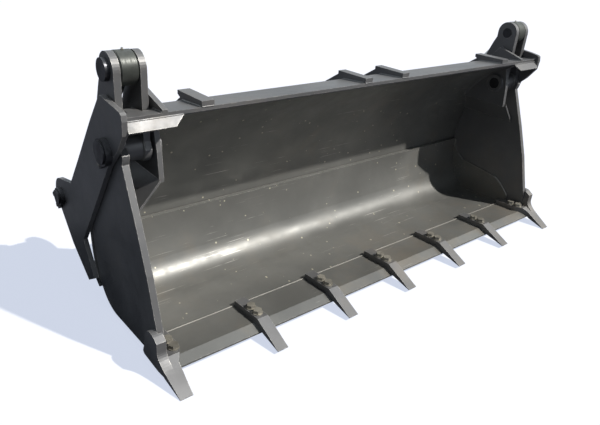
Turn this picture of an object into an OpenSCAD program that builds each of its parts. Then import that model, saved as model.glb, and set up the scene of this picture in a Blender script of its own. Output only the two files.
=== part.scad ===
// Four in one bucket for a wheel loader, in millimetres.
// A fixed blade frame carries a hinged clam, which two cylinders swing open.
// X runs across the bucket, Y points to the rear and Z is up.
// Side views are drawn in Y and Z and extruded along X.

/* [Width] */
// Width over the clam's side plates
clam_w = 2512; // [2300:4:2900]
// Thickness of the clam's side plates and outer lever ears
side_t = 26; // [20:1:32]
// Running gap between a side plate and the frame's end plate
end_gap = 5; // [4:1:10]
// Thickness of the frame's end plates
end_t = 20; // [14:1:28]
// Gap between the lever ears that takes the rod eye
clevis_gap = 70; // [66:1:90]
// Thickness of the inner lever ears
ear_t = 25; // [18:1:32]
// Gap between an inner ear and the frame's cheek
cheek_gap = 10; // [6:1:16]
// Thickness of the frame's cheeks
cheek_t = 20; // [14:1:28]

/* [Blade curve] */
// Distance from the clam hinge to the blade's front face
hinge_reach = 66.36; // [64:0.01:69]
// Centre of the blade curve, behind the tooth tips
curve_y = 122; // [110:1:134]
// Centre of the blade curve, above the ground
curve_z = 334; // [326:1:342]
// Direction in which the blade meets the beam, in degrees
blade_end_angle = 67; // [66:0.5:68]
// Thickness of the blade's curved plate
blade_t = 14; // [10:1:16]
// Gap between the clam's back and the blade
back_gap = 4; // [3:1:10]
// Height of the clam's back ledge
ledge_z = 341; // [320:1:360]

/* [Clam shell] */
// Thickness of the clam's curved back
back_t = 20; // [14:1:26]
// Thickness of the floor
floor_t = 20; // [14:1:24]
// Outer radius of the heel bend
heel_r = 165; // [140:1:190]
// Rise of the floor towards the teeth, in degrees
floor_slope = 3.4; // [2.5:0.1:4.5]
// Place at which the floor height is given
floor_y = 640; // [620:1:660]
// Thickness of the wear strips under the floor
strip_t = 10; // [8:1:16]
// Width of a wear strip
strip_w = 70; // [50:1:100]
// Distance of the outermost wear strips from the side plates
strip_inset = 230; // [180:1:300]

/* [Cutting edge and teeth] */
// Seam between floor and cutting edge
seam_y = 320; // [300:1:340]
// Upper line of the cutting edge's bevel
bevel_y = 165; // [158:1:172]
// Front lip of the cutting edge
lip_y = 118; // [112:1:124]
// Thickness of the cutting edge
edge_t = 28; // [22:1:32]
// Distance between teeth
tooth_pitch = 400; // [380:1:430]
// Width of a tooth
tooth_w = 53; // [44:1:60]
// Thickness of a tooth
tooth_t = 26; // [20:1:30]
// Bend between a tooth's shank and its blade
tooth_bend_y = 148; // [143:1:153]
// Height of an inner tooth's tip
tooth_tip_z = 15; // [12:1:20]
// Radius of a tooth bolt
bolt_r = 11; // [9:0.5:13]

/* [Pivots] */
// Clam hinge, behind the tooth tips
pivot_y = 480; // [474:1:486]
// Clam hinge, above the ground
pivot_z = 800; // [794:1:806]
// Radius of the clam hinge pins
pivot_pin_r = 32; // [26:1:36]
// Lever pin, behind the clam hinge
lever_y = 16; // [10:1:22]
// Lever pin, above the clam hinge
lever_z = 284; // [278:1:290]
// Radius of the lever pins
lever_pin_r = 27; // [24:1:28]
// Radius of the lever ears' round tops
ear_r = 60; // [54:1:66]
// Cylinder base pin, behind the blade's back
base_out = 260; // [252:1:268]
// Cylinder base pin, above the centre of the blade curve
base_up = 54; // [46:1:62]
// Radius of the cylinder base pins
base_pin_r = 26; // [22:1:30]

/* [Cylinders] */
// Outer radius of a cylinder barrel
barrel_r = 44; // [40:1:48]
// Wall of a cylinder barrel
barrel_wall = 8; // [6:1:10]
// Radius of a piston rod
rod_r = 26; // [22:1:28]
// Outer radius of the rod eye
eye_r = 61; // [57:1:64]
// Radius of the rod eye's bore, loose round the lever pin
eye_bore_r = 41; // [41:1:44]
// Width of the eyes
eye_w = 64; // [58:1:64]
// Bevel on the rims of the rod eyes
eye_bevel = 4; // [1:0.5:6]
// Base pin to the barrel's open end
barrel_len = 520; // [500:1:530]

/* [Frame] */
// Thickness of the beam and deck plates
beam_t = 16; // [12:1:20]
// Lip of the beam in front of the blade's end
beam_lip = 12.5; // [8:0.5:18]
// Depth of the beam
beam_depth = 135; // [125:1:145]
// Height of the bars on the beam
bar_t = 22; // [18:1:28]
// Width of a side bar
side_bar_w = 52; // [44:1:60]
// Distance of a side bar from the cheek
side_bar_inset = 160; // [120:1:200]
// Thickness of a tilt ear and of its bar
tilt_ear_t = 44; // [36:1:50]
// Distance of a tilt ear from the middle
tilt_ear_x = 122; // [104:1:140]
// Radius of the tilt pin bore
tilt_bore_r = 30; // [26:1:34]
// Thickness of an arm ear
arm_ear_t = 32; // [26:1:40]
// Clear gap between two arm ears
arm_gap = 96; // [80:1:120]
// Distance of an arm pair from the middle
arm_x = 480; // [440:1:540]
// Radius of the arm pin bores
arm_bore_r = 32; // [28:1:36]
// Side of the square cross tube
tube_w = 130; // [120:1:136]
// Wall of the cross tube
tube_wall = 10; // [8:1:14]

/* [Hidden] */
SIDES = ["left", "right"];

$fn = 96;
big_fn = 240;
// Fit between welded or bolted pieces, and the overrun of cuts
fit = 0.3;
over = 2;
// Radial clearance of pins that turn
run_fit = 0.08;
paint = "dimgray";
steel = "darkgray";

// Stations across the width, measured from the middle
side_out = clam_w / 2;
side_in = side_out - side_t;
end_in = side_out + end_gap;
end_out = end_in + end_t;
ear_out = side_in - clevis_gap;
ear_in = ear_out - ear_t;
cheek_out = ear_in - cheek_gap;
cheek_in = cheek_out - cheek_t;
ram_x = (side_in + ear_out) / 2;

// Blade and clam back share one centre, and the blade passes behind the hinge
pivot = [pivot_y, pivot_z];
curve = [curve_y, curve_z];
curve_r = norm(pivot - curve) + hinge_reach;
blade_back_r = curve_r + blade_t;
blade_rear_y = curve_y + blade_back_r;
clam_r = curve_r - back_gap;

// The other pivots in the side view
lever = [pivot_y + lever_y, pivot_z + lever_z];
base_y = blade_rear_y + base_out;
base_z = curve_z + base_up;
base = [base_y, base_z];
ram_len = norm(lever - base);
ram_dir = (lever - base) / ram_len;
ram_angle = atan2(ram_dir[1], ram_dir[0]);

// The beam lies on the blade's upper end
beam_low_z = curve_z + curve_r * sin(blade_end_angle);
beam_z = beam_low_z + beam_t;
beam_front_y = curve_y + curve_r * cos(blade_end_angle) - beam_lip;
beam_rear_y = beam_front_y + beam_depth;
side_bar_x = cheek_in - side_bar_inset;

// Beam and deck have a nose in front of that corner and fall a little to the rear
beam_nose = 12;
beam_rise = 4;
beam_fall = 10;
nose_y = beam_front_y - beam_nose;
nose_low_z = beam_z - beam_fall;
function beam_top(y) = beam_z + beam_rise - (y - nose_y) * (beam_rise + beam_fall) / (beam_rear_y - nose_y);

// Points of an arc, from one angle to another
function arc(c, r, from, to, steps = 16) =
    [for (i = [0 : steps]) let (a = from + (to - from) * i / steps)
        [c[0] + r * cos(a), c[1] + r * sin(a)]];

// Points given as shares of a size in each direction
function spread(shares, size, origin = [0, 0]) =
    [for (s = shares) [origin[0] + s[0] * size[0], origin[1] + s[1] * size[1]]];

// Height of the floor's upper face
function floor_top(y) = strip_t + floor_t + (floor_y - y) * tan(floor_slope);
function floor_low(y) = floor_top(y) - floor_t / cos(floor_slope);

// A plate drawn in the side view, from one station to another
module plate(from, to) {
    translate([from, 0, 0]) rotate([90, 0, 90]) linear_extrude(to - from) children();
}

// A bent stretch of plate about a centre, between two angles
module bend(centre, outer, t, from, to) {
    intersection() {
        difference() {
            translate(centre) circle(outer, $fn = big_fn);
            translate(centre) circle(outer - t, $fn = big_fn);
        }
        polygon(concat([centre], arc(centre, 2 * outer, from, to, 6)));
    }
}

// A round bar along the width
module bar_x(centre, r, from, to) {
    translate([from, centre[0], centre[1]]) rotate([0, 90, 0]) cylinder(r = r, h = to - from);
}

// The left side is the mirror image of the right one
module on_side(side) {
    if (side == "right") children();
    else mirror([1, 0, 0]) children();
}

// Outline of the end plates: in shares of the beam's front corner at the top, and below
// that in shares of the way from the clam hinge to the base pin
nose_share = [[0.9205, 0.9454], [0.9096, 0.9979], [0.9205, 1.0210], [0.9493, 1.0284]];
crest_share = [[1.0701, 1.0346], [1.2164, 1.0399], [1.3425, 1.0441], [1.3980, 1.0441], [1.4614, 1.0210]];
rear_share = [[0.2429, 1.1772], [0.5487, 0.6460], [0.7661, 0.2788]];
tail_share = [[0.8582, -0.4973], [0.5763, -0.7694], [0.4511, -0.6573], [0.6113, -0.2891]];
front_share = [[0.2447, 0.3908], [0.0016, 0.8523], [-0.1734, 1.0925]];
function by_beam(shares) = spread(shares, [beam_front_y, beam_z]);
function by_pins(shares) = spread(shares, [base_y - pivot_y, pivot_z - base_z], [pivot_y, base_z]);
lobe_r = 82;
base_lobe = arc(base, lobe_r, 80, -60, 14);

// Pin heads, bosses and keepers
pivot_boss_r = 51;
pivot_boss_len = 24;
base_boss_r = 41;
base_boss_len = 20;
pin_proud = 8;
collar_len = 14;
keeper_t = 14;
keeper_w = 44;
keeper_len = 84;
keeper_bolt_gap = 52;
keeper_bolt_r = 6;
keeper_bite = 12;
keeper_angle = 326;
base_keeper_angle = 324;

module end_plate_outline() {
    polygon(concat(by_beam(nose_share), by_beam(crest_share), by_pins(rear_share),
        base_lobe, by_pins(tail_share), by_pins(front_share)));
}

module end_plate(side) {
    on_side(side) color(paint) plate(end_in, end_out) difference() {
        end_plate_outline();
        translate(pivot) circle(pivot_pin_r + fit);
        translate(base) circle(base_pin_r + fit);
        for (at = keeper_bolt_places()) translate(at) circle(keeper_bolt_r);
    }
}

// The cheek is the frame's inner plate at each end, with a wedge above the deck
brow_share = [[0.8271, 0.8625], [0.8479, 0.9900], [0.8958, 1.1125]];
kink_y = brow_share[0][0] * pivot_y;
kink_z = brow_share[0][1] * pivot_z;
kink_lap = 14;
cheek_low_z = kink_z - kink_lap;
wedge_low = 14;
wedge_high = 53;

module cheek_outline() {
    difference() {
        polygon(concat([[nose_y, nose_low_z], [nose_y, beam_z + wedge_low],
            [beam_rear_y, beam_z + wedge_high]], by_pins(rear_share), base_lobe,
            [[tube_rear_y, tube_low_z], [tube_front_y, tube_low_z], [kink_y, cheek_low_z - over]],
            spread(brow_share, pivot),
            [[beam_front_y + fit, beam_low_z], [beam_front_y + fit, nose_low_z]]));
        intersection() {
            translate(curve) circle(blade_back_r + fit, $fn = big_fn);
            translate([0, cheek_low_z - curve_r]) square([blade_rear_y + over, curve_r]);
        }
    }
}

module cheek(side) {
    on_side(side) color(paint) plate(cheek_in, cheek_out) difference() {
        cheek_outline();
        translate(pivot) circle(pivot_pin_r + fit);
        translate(base) circle(base_pin_r + fit);
    }
}

// The blade is a curved plate, narrower above the hinges
blade_low_z = 100;
blade_low = asin((blade_low_z - curve_z) / curve_r);

// The blade's section between two heights
module blade_band(low_z, high_z) {
    intersection() {
        bend(curve, blade_back_r, blade_t, blade_low, 90);
        translate([curve_y, low_z]) square([blade_back_r, high_z - low_z]);
    }
}

module blade() {
    color(paint) {
        plate(-end_in, end_in) blade_band(0, cheek_low_z);
        plate(-cheek_in, cheek_in) blade_band(cheek_low_z, beam_low_z);
    }
}

// The beam closes the blade's top with a plate and a rear leg
module top_beam() {
    leg_y = beam_rear_y - beam_t;
    color(paint) plate(-cheek_in, cheek_in) difference() {
        polygon([[nose_y, beam_top(nose_y)], [beam_rear_y, beam_top(beam_rear_y)], [beam_rear_y, pivot_z],
            [leg_y, pivot_z], [leg_y, beam_top(beam_rear_y) - beam_t],
            [beam_front_y + beam_lip, beam_low_z], [nose_y, nose_low_z]]);
        intersection() {
            translate(curve) circle(blade_back_r + fit, $fn = big_fn);
            square([beam_rear_y + over, beam_low_z]);
        }
    }
}

// The dozer edge stands on a tangent of the blade's lower end
dozer_t = 28;
dozer_up = 70;
dozer_down = 44;
dozer_tip_t = 8;
dozer_bevel = 30;
dozer_slope = 1.4;
dozer_angle = blade_low + dozer_slope;

module dozer_edge() {
    color(paint) plate(-end_in, end_in) translate(curve) rotate(dozer_angle)
        translate([blade_back_r + fit, 0]) polygon([[0, -dozer_down], [dozer_tip_t, -dozer_down],
            [dozer_t, dozer_bevel - dozer_down], [dozer_t, dozer_up], [0, dozer_up]]);
}

// The cross tube lies behind the blade, where the curve is deepest
tube_front_y = blade_rear_y + fit;
tube_rear_y = tube_front_y + tube_w;
tube_low_z = curve_z - tube_w / 2;

module tube_section(grow = 0) {
    translate([tube_front_y - grow, tube_low_z - grow]) square(tube_w + 2 * grow);
}

module cross_tube() {
    color(paint) plate(-cheek_in, cheek_in) difference() {
        tube_section();
        tube_section(-tube_wall);
    }
}

// The deck joins cheek and end plate, slotted for the lever ears
ear_front_gap = 12;
tongue_reach = 9;
deck_rear_y = lever[0] - ear_r - ear_front_gap;
tongue_rear_y = lever[0] + tongue_reach;
tongue_gap = 10;
notch_r = 24;

module deck_plan() {
    difference() {
        union() {
            translate([cheek_out, 0]) square([end_in - cheek_out, deck_rear_y]);
            translate([ear_out + tongue_gap, 0]) square([clevis_gap - 2 * tongue_gap, tongue_rear_y]);
        }
        translate([ram_x, tongue_rear_y]) circle(notch_r);
    }
}

module end_deck(side) {
    end_y = tongue_rear_y + over;
    on_side(side) color(paint) intersection() {
        linear_extrude(beam_z + bar_t) deck_plan();
        plate(cheek_out, end_in) polygon([[nose_y, beam_top(nose_y)], [end_y, beam_top(end_y)],
            [end_y, beam_top(end_y) - beam_t], [nose_y, nose_low_z]]);
    }
}

// The hood is a strip bent down in front of the deck
hood_reach = 39;
hood_fall = 49;
hood_share = [[0, 0.276], [0, 0.327], [0.795, 1], [1, 0.857], [0.385, 0.214]];
hood_len = 231;
hood_slant = 68;

module hood(side) {
    inner_x = end_in - hood_len;
    low_z = beam_z - hood_fall - over;
    on_side(side) color(paint) intersection() {
        plate(inner_x, end_in)
            polygon(spread(hood_share, [-hood_reach, -hood_fall], [beam_front_y, beam_z]));
        translate([0, beam_front_y + over, 0]) rotate([90, 0, 0]) linear_extrude(beam_front_y)
            polygon([[inner_x, beam_z], [end_in, beam_z], [end_in, low_z], [inner_x + hood_slant, low_z]]);
    }
}

// A sloping guard keeps the load out of the hinge
guard_t = 12;
guard_fall = 112;
guard_lead = 9;
guard_front_y = kink_y - guard_lead;
guard_end_x = side_in - end_gap;

module hinge_guard(side) {
    on_side(side) color(paint) intersection() {
        translate([0, curve_y + curve_r, 0]) rotate([90, 0, 0])
            linear_extrude(curve_y + curve_r - guard_front_y)
            polygon([[cheek_out, cheek_low_z + kink_lap], [guard_end_x, kink_z - guard_fall],
                [guard_end_x, kink_z - guard_fall - guard_t], [cheek_out, kink_z - guard_t]]);
        plate(cheek_out, end_in) translate(curve) circle(curve_r - fit, $fn = big_fn);
    }
}

// A side rib carries its bar over the beam and follows the blade's back
bar_reach = 33;
bar_rear_y = beam_rear_y + bar_reach;
bar_top_z = beam_z + beam_rise + bar_t;
bar_end_fall = 4.5;
bar_end_lift = 6;
rib_t = 20;
rib_depth = 70;

module bar_outline() {
    polygon([[nose_y, beam_top(nose_y) + fit], [nose_y, bar_top_z], [bar_rear_y, bar_top_z - bar_end_fall],
        [bar_rear_y, beam_z + bar_end_lift], [beam_rear_y, beam_top(beam_rear_y) + fit]]);
}

module side_rib(side) {
    on_side(side) color(paint) {
        plate(side_bar_x - side_bar_w / 2, side_bar_x + side_bar_w / 2) bar_outline();
        plate(side_bar_x - rib_t / 2, side_bar_x + rib_t / 2) intersection() {
            bend(curve, blade_back_r + rib_depth, rib_depth - fit, 0, 90);
            translate([beam_rear_y + fit, tube_low_z + tube_w + fit])
                square([blade_back_r, beam_z + bar_end_lift - tube_low_z - tube_w]);
        }
    }
}

// A tilt ear runs from its bar down the blade's back to the tilt pin
tilt_out = 16;
tilt_up = 366;
tilt_foot_up = 166;
tilt_y = blade_rear_y + tilt_out;
tilt_z = curve_z + tilt_up;
tilt_foot_z = curve_z + tilt_foot_up;
tilt_lobe_r = 66;

module tilt_ear(side) {
    on_side(side) color(paint) plate(tilt_ear_x - tilt_ear_t / 2, tilt_ear_x + tilt_ear_t / 2) {
        bar_outline();
        difference() {
            polygon(concat([[beam_rear_y + fit, beam_z + bar_end_lift],
                [bar_rear_y, beam_z + bar_end_lift]],
                arc([tilt_y, tilt_z], tilt_lobe_r, 58, -50, 14),
                [[blade_rear_y, tilt_foot_z], [beam_rear_y + fit, tilt_foot_z]]));
            translate(curve) circle(blade_back_r + fit, $fn = big_fn);
            translate([tilt_y, tilt_z]) circle(tilt_bore_r);
        }
    }
}

// Two arm ears straddle each loader arm
arm_out = 212;
arm_down = 102;
arm_root = 10;
arm_rise = 256;
arm_foot = 46;
arm_y = blade_rear_y + arm_out;
arm_z = curve_z - arm_down;
arm_root_y = blade_rear_y + arm_root;
arm_top_z = curve_z + arm_rise;
arm_foot_z = arm_z - arm_foot;
arm_lobe_r = 72;

module arm_ears(side) {
    on_side(side) color(paint) for (way = [-1, 1])
        translate([arm_x + way * (arm_gap + arm_ear_t) / 2 - arm_ear_t / 2, 0, 0]) plate(0, arm_ear_t)
            difference() {
                polygon(concat([[curve_y, arm_top_z], [arm_root_y, arm_top_z]],
                    arc([arm_y, arm_z], arm_lobe_r, 40, -95, 14),
                    [[arm_root_y, arm_foot_z], [curve_y, arm_foot_z]]));
                translate(curve) circle(blade_back_r + fit, $fn = big_fn);
                tube_section(fit);
                translate([arm_y, arm_z]) circle(arm_bore_r);
            }
}

// Places of the keeper bolts in the side view
function keeper_spot(centre, r, turn, way) =
    let (out = r + keeper_w / 2 - keeper_bite, across = way * keeper_bolt_gap / 2)
    [centre[0] + out * cos(turn) - across * sin(turn), centre[1] + out * sin(turn) + across * cos(turn)];
function keeper_bolt_places() = [for (way = [-1, 1]) each [
    keeper_spot(pivot, pivot_boss_r, keeper_angle, way),
    keeper_spot(base, base_boss_r, base_keeper_angle, way)]];

// Pins of the frame, each with a head that the keeper locks
module headed_pin(centre, pin_r, head_r, head_len, turn) {
    difference() {
        union() {
            bar_x(centre, pin_r, cheek_in - collar_len, end_out);
            bar_x(centre, head_r, end_out, end_out + head_len);
            bar_x(centre, head_r - pin_proud, end_out + head_len, end_out + head_len + pin_proud);
        }
        translate([end_out, centre[0], centre[1]]) rotate([turn, 0, 0])
            translate([0, head_r - keeper_bite - fit, -head_r])
            cube([head_len + pin_proud + over, 2 * head_r, 2 * head_r]);
    }
}

module pivot_pin(side) {
    on_side(side) color(steel)
        headed_pin(pivot, pivot_pin_r, pivot_boss_r, pivot_boss_len, keeper_angle);
}

module base_pin(side) {
    on_side(side) color(steel)
        headed_pin(base, base_pin_r, base_boss_r, base_boss_len, base_keeper_angle);
}

// Collars welded to the cheeks, and spacers that centre the barrel's eye
collar_wall = 16;
spacer_wall = 24;

module collar(centre, bore, outer, from, to) {
    translate([from, centre[0], centre[1]]) rotate([0, 90, 0]) difference() {
        cylinder(r = outer, h = to - from);
        translate([0, 0, -over]) cylinder(r = bore, h = to - from + 2 * over);
    }
}

module pin_bosses(side) {
    on_side(side) color(paint) {
        collar(pivot, pivot_pin_r + fit, pivot_pin_r + collar_wall, cheek_in - collar_len, cheek_in);
        collar(base, base_pin_r + fit, base_pin_r + collar_wall, cheek_in - collar_len, cheek_in);
        collar(base, base_pin_r + fit, base_pin_r + spacer_wall, cheek_out, ram_x - eye_w / 2 - fit);
        collar(base, base_pin_r + fit, base_pin_r + spacer_wall, ram_x + eye_w / 2 + fit, end_in);
    }
}

// Keeper plates bolted to the end plate
module keeper(centre, r, turn) {
    translate([end_out, centre[0], centre[1]]) rotate([turn, 0, 0])
        translate([0, r - keeper_bite, -keeper_len / 2]) difference() {
            cube([keeper_t, keeper_w, keeper_len]);
            for (way = [-1, 1])
                translate([-over, keeper_w / 2, keeper_len / 2 + way * keeper_bolt_gap / 2])
                    rotate([0, 90, 0]) cylinder(r = keeper_bolt_r, h = keeper_t + 2 * over);
        }
}

module pin_keepers(side) {
    on_side(side) color(steel) {
        keeper(pivot, pivot_boss_r, keeper_angle);
        keeper(base, base_boss_r, base_keeper_angle);
    }
}

keeper_head_r = 11;
keeper_head_t = 8;

module keeper_bolts() {
    color(steel) for (side = SIDES, at = keeper_bolt_places()) on_side(side) {
        bar_x(at, keeper_bolt_r - run_fit, end_in, end_out + keeper_t);
        translate([end_out + keeper_t, at[0], at[1]]) rotate([0, 90, 0])
            cylinder(r = keeper_head_r, h = keeper_head_t, $fn = 6);
    }
}

// The clam's shell: floor, heel bend and back, each tangent to the next
floor_n = [sin(floor_slope), cos(floor_slope)];
floor_d = [cos(floor_slope), -sin(floor_slope)];
floor_point = [floor_y, floor_low(floor_y)];
curve_over = (curve - floor_point) * floor_n;
curve_foot = curve - curve_over * floor_n;
heel_run = sqrt(pow(clam_r - heel_r, 2) - pow(curve_over - heel_r, 2));
heel = curve_foot + heel_r * floor_n + heel_run * floor_d;
heel_angle = atan2(heel[1] - curve_z, heel[0] - curve_y);
heel_foot = heel - heel_r * floor_n;
ledge_angle = asin((ledge_z - curve_z) / clam_r);

// Outer face of the shell, from the ledge round to a place on the underside
function shell_path(r, hr, lift, front) = concat(
    arc(curve, r, ledge_angle, heel_angle, 12), arc(heel, hr, heel_angle, -90 - floor_slope, 18),
    [[front, floor_low(front) + lift / cos(floor_slope)]]);

// Side view of what the shell encloses, with the shell's own thickness or without it
module bowl(skin, past) {
    inset = back_t * (1 - skin);
    intersection() {
        translate(curve) circle(clam_r - inset, $fn = big_fn);
        polygon(concat([curve], arc(curve, 2 * clam_r, ledge_angle + past, heel_angle, 6)));
    }
    intersection() {
        translate(heel) circle(heel_r - inset, $fn = big_fn);
        translate([heel_foot[0], 0]) square([heel_r + heel[0] - heel_foot[0], ledge_z]);
    }
    polygon([[seam_y - past, floor_top(seam_y - past) - floor_t * skin / cos(floor_slope)],
        heel_foot + floor_t * (1 - skin) * floor_n, heel, [seam_y - past, heel[1] + past]]);
}

module clam_shell() {
    color(paint) plate(-side_in, side_in) difference() {
        bowl(1, 0);
        bowl(0, over);
    }
}

// Front edge of the side plates, in shares of the clam hinge's place
side_front_share = [[0.385, 0.050], [0.385, 0.182], [0.5375, 0.4775], [0.679, 0.695], [0.875, 0.970],
    [0.905, 1.080]];

// Flat cutting edge with a bevel down to its lip
lip_low = 8;
lip_drop = 20;
lip_z = floor_top(lip_y) - lip_drop;

module bolt_holes(places) {
    for (x = places, y = bolt_rows)
        on_edge(x, y) translate([0, 0, -edge_t - over])
            cylinder(r = bolt_r + run_fit, h = edge_t + tooth_t + 2 * over);
}

module cutting_edge() {
    low = edge_t / cos(floor_slope);
    color(paint) difference() {
        plate(-side_in, side_in) polygon([[seam_y, floor_top(seam_y)], [bevel_y, floor_top(bevel_y)],
            [lip_y, lip_z], [lip_y, lip_z - lip_low], [bevel_y, floor_top(bevel_y) - low],
            [seam_y, floor_top(seam_y) - low]]);
        bolt_holes(bolt_stations);
    }
}

// Teeth: a shank bolted on the edge and a blade bent down to a chisel tip
TEETH = 5;
function tooth_x(i) = (i - (TEETH + 1) / 2) * tooth_pitch;
bolt_front = 18;
bolt_pitch = 49;
bolt_rows = [bevel_y + bolt_front, bevel_y + bolt_front + bolt_pitch];
corner_bolt_inset = 35;
corner_bolt_x = side_in - corner_bolt_inset;
bolt_stations = concat([-corner_bolt_x, corner_bolt_x], [for (i = [1 : TEETH]) tooth_x(i)]);
tip_t = 3;
chisel_len = 104;

// A place on the cutting edge, with the plate's normal as the new Z
module on_edge(x, y) {
    translate([x, y, floor_top(y)]) rotate([-floor_slope, 0, 0]) children();
}

// Height of a tooth's bend, and fall of its blade from there to the tip
tooth_bend_z = floor_top(tooth_bend_y) + tooth_t / cos(floor_slope);
function tooth_fall(tip_z) = (tooth_bend_z - tip_z - tip_t) / tooth_bend_y;

module tooth_outline(tip_z) {
    fall = tooth_fall(tip_z);
    under = tooth_t / cos(atan(fall));
    polygon([[seam_y, floor_top(seam_y)], [seam_y, floor_top(seam_y) + tooth_t / cos(floor_slope)],
        [tooth_bend_y, tooth_bend_z], [0, tip_z + tip_t], [0, tip_z],
        [chisel_len, tip_z + tip_t + fall * chisel_len - under],
        [lip_y - fit, lip_z + fit], [lip_y, lip_z + fit], [bevel_y, floor_top(bevel_y)]]);
}

module tooth(i) {
    color(steel) difference() {
        plate(tooth_x(i) - tooth_w / 2, tooth_x(i) + tooth_w / 2) tooth_outline(tooth_tip_z);
        bolt_holes([tooth_x(i)]);
    }
}

// Corner teeth: the blade sweeps up into a post before the side plate, and a wing outside it
wing_t = 24;
wing_gap = 1;
post_w = 39;
post_top_z = 158;
post_foot_y = 90;
sweep_top_z = 118;
wing_mid_y = 200;
wing_mid_z = 130;
wing_r = 50;
toe_y = 256;
toe_z = 54;
toe_r = 16;
belly_y = 199;
belly_z = 36;
root_z = 34;
wing_seat_y = side_front_share[0][0] * pivot_y - wing_gap;
wing_front_y = tooth_bend_y + tip_t;
corner_in = corner_bolt_x - tooth_w / 2;
corner_out = corner_bolt_x + tooth_w / 2;
corner_neck_inset = 22;
corner_tip_inset = 15;
corner_neck_x = side_in - corner_neck_inset;
corner_tip_x = side_in - corner_tip_inset;
wing_out = side_out + wing_t;
post_in = wing_out - post_w;

// A smooth line from one point to another that leans to a third between them
function sweep(a, lean, b, steps = 8) =
    [for (i = [0 : steps]) let (t = i / steps) pow(1 - t, 2) * a + 2 * t * (1 - t) * lean + t * t * b];

module corner_plan() {
    polygon([[corner_in, seam_y], [corner_out, seam_y], [corner_out, wing_seat_y],
        [wing_out, wing_seat_y], [wing_out, tooth_bend_y], [corner_tip_x + tooth_w, 0],
        [corner_tip_x, 0], [corner_neck_x, lip_y - fit], [corner_in, wing_seat_y]]);
}

module wing_outline() {
    fall = tooth_fall(0);
    polygon(concat([[0, 0], [0, tip_t]],
        sweep([post_foot_y, tip_t + fall * post_foot_y], [wing_front_y, tip_t + fall * wing_front_y],
            [wing_front_y, sweep_top_z]),
        [[wing_front_y, post_top_z]], arc([wing_mid_y, wing_mid_z], wing_r, 118, -12, 12),
        arc([toe_y, toe_z], toe_r, -12, -90, 6), [[belly_y, belly_z], [chisel_len, root_z]]));
}

module wing_plan() {
    polygon([[post_in, wing_seat_y], [side_out + fit, wing_seat_y], [side_out + fit, seam_y],
        [wing_out, seam_y], [wing_out, tooth_bend_y], [corner_tip_x + tooth_w, 0], [post_in, 0]]);
}

module corner_tooth(side) {
    on_side(side) color(steel) {
        difference() {
            intersection() {
                plate(corner_in - over, wing_out + over) tooth_outline(0);
                linear_extrude(beam_z) corner_plan();
            }
            bolt_holes([corner_bolt_x]);
        }
        intersection() {
            plate(post_in - over, wing_out + over) wing_outline();
            linear_extrude(beam_z) wing_plan();
        }
    }
}

bolt_head_t = 14;
bolt_head_r = 20;
washer_r = 23;
washer_t = 4;
nut_t = 12;

module tooth_bolts() {
    color(steel) for (x = bolt_stations, y = bolt_rows) on_edge(x, y) {
        translate([0, 0, -edge_t - nut_t]) cylinder(r = bolt_r, h = edge_t + nut_t + tooth_t);
        translate([0, 0, tooth_t]) cylinder(r = washer_r, h = washer_t);
        translate([0, 0, tooth_t + washer_t]) cylinder(r = bolt_head_r, h = bolt_head_t, $fn = 6);
    }
}

module tooth_nuts() {
    color(steel) for (x = bolt_stations, y = bolt_rows) on_edge(x, y)
        translate([0, 0, -edge_t - nut_t]) difference() {
            cylinder(r = bolt_head_r, h = nut_t, $fn = 6);
            translate([0, 0, -over]) cylinder(r = bolt_r + run_fit, h = nut_t + 2 * over);
        }
}

// Wear strips under the floor, thickened below the heel
STRIPS = 5;
strip_lap = 4;
strip_heel = 44;
strip_rise_share = 0.33;
strip_front_y = seam_y + strip_lap;
strip_rear_y = floor_y + strip_heel;
strip_top_z = heel_foot[1] + heel_r * strip_rise_share;
strip_pitch = 2 * (side_in - strip_inset) / (STRIPS - 1);

module wear_strips() {
    color(steel) for (i = [1 : STRIPS]) let (x = (i - (STRIPS + 1) / 2) * strip_pitch)
        plate(x - strip_w / 2, x + strip_w / 2) difference() {
            polygon([[strip_front_y, floor_low(strip_front_y) - strip_t], [floor_y, 0],
                [strip_rear_y, 0], [strip_rear_y, strip_top_z], [heel_foot[0], strip_top_z],
                [strip_front_y, floor_low(strip_front_y) + over]]);
            polygon(concat([[seam_y, ledge_z]], shell_path(clam_r + fit, heel_r + fit, -fit, seam_y)));
        }
}

// Side plates run up past the hinge as the outer lever ears
hub_lobe_r = 75;
inner_lobe_r = 58;
crown_share = 1.08;
ear_rear_share = [[0.320, 0.790], [0.450, 0.455], [0.410, 0.283]];

module ear_outline(hub_r) {
    polygon(concat(arc(lever, ear_r, 180, 0, 20), spread([[1, -0.5]], [ear_r, ear_r], lever),
        spread(ear_rear_share, [lever_z, lever_z], pivot), arc(pivot, hub_r, 0, -180, 20),
        [[lever[0] - ear_r, pivot_z + ear_r / 2]]));
}

module side_outline() {
    union() {
        intersection() {
            polygon(concat(spread(side_front_share, pivot), [[pivot_y, crown_share * pivot_z],
                [pivot_y + hub_lobe_r, pivot_z], [curve_y + clam_r, pivot_z - hub_lobe_r],
                [curve_y + clam_r, 0], [side_front_share[0][0] * pivot_y, 0]]));
            polygon(concat([[0, pivot_z + lever_z], [pivot_y + hub_lobe_r, pivot_z + lever_z],
                [pivot_y + hub_lobe_r, pivot_z]],
                arc(curve, clam_r, asin((pivot_z - hub_lobe_r - curve_z) / clam_r), heel_angle, 30),
                arc(heel, heel_r, heel_angle, -90 - floor_slope, 18), [[0, floor_low(0)]]));
        }
        ear_outline(hub_lobe_r);
    }
}

module side_plate(side) {
    on_side(side) color(paint) plate(side_in, side_out) difference() {
        side_outline();
        translate(pivot) circle(hub_bore_r);
        translate(lever) circle(lever_pin_r + fit);
    }
}

// Hinge hub on each side: a tube between side plate and inner ear
hub_bore_r = pivot_pin_r + run_fit;
hub_wall = 18;

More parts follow.
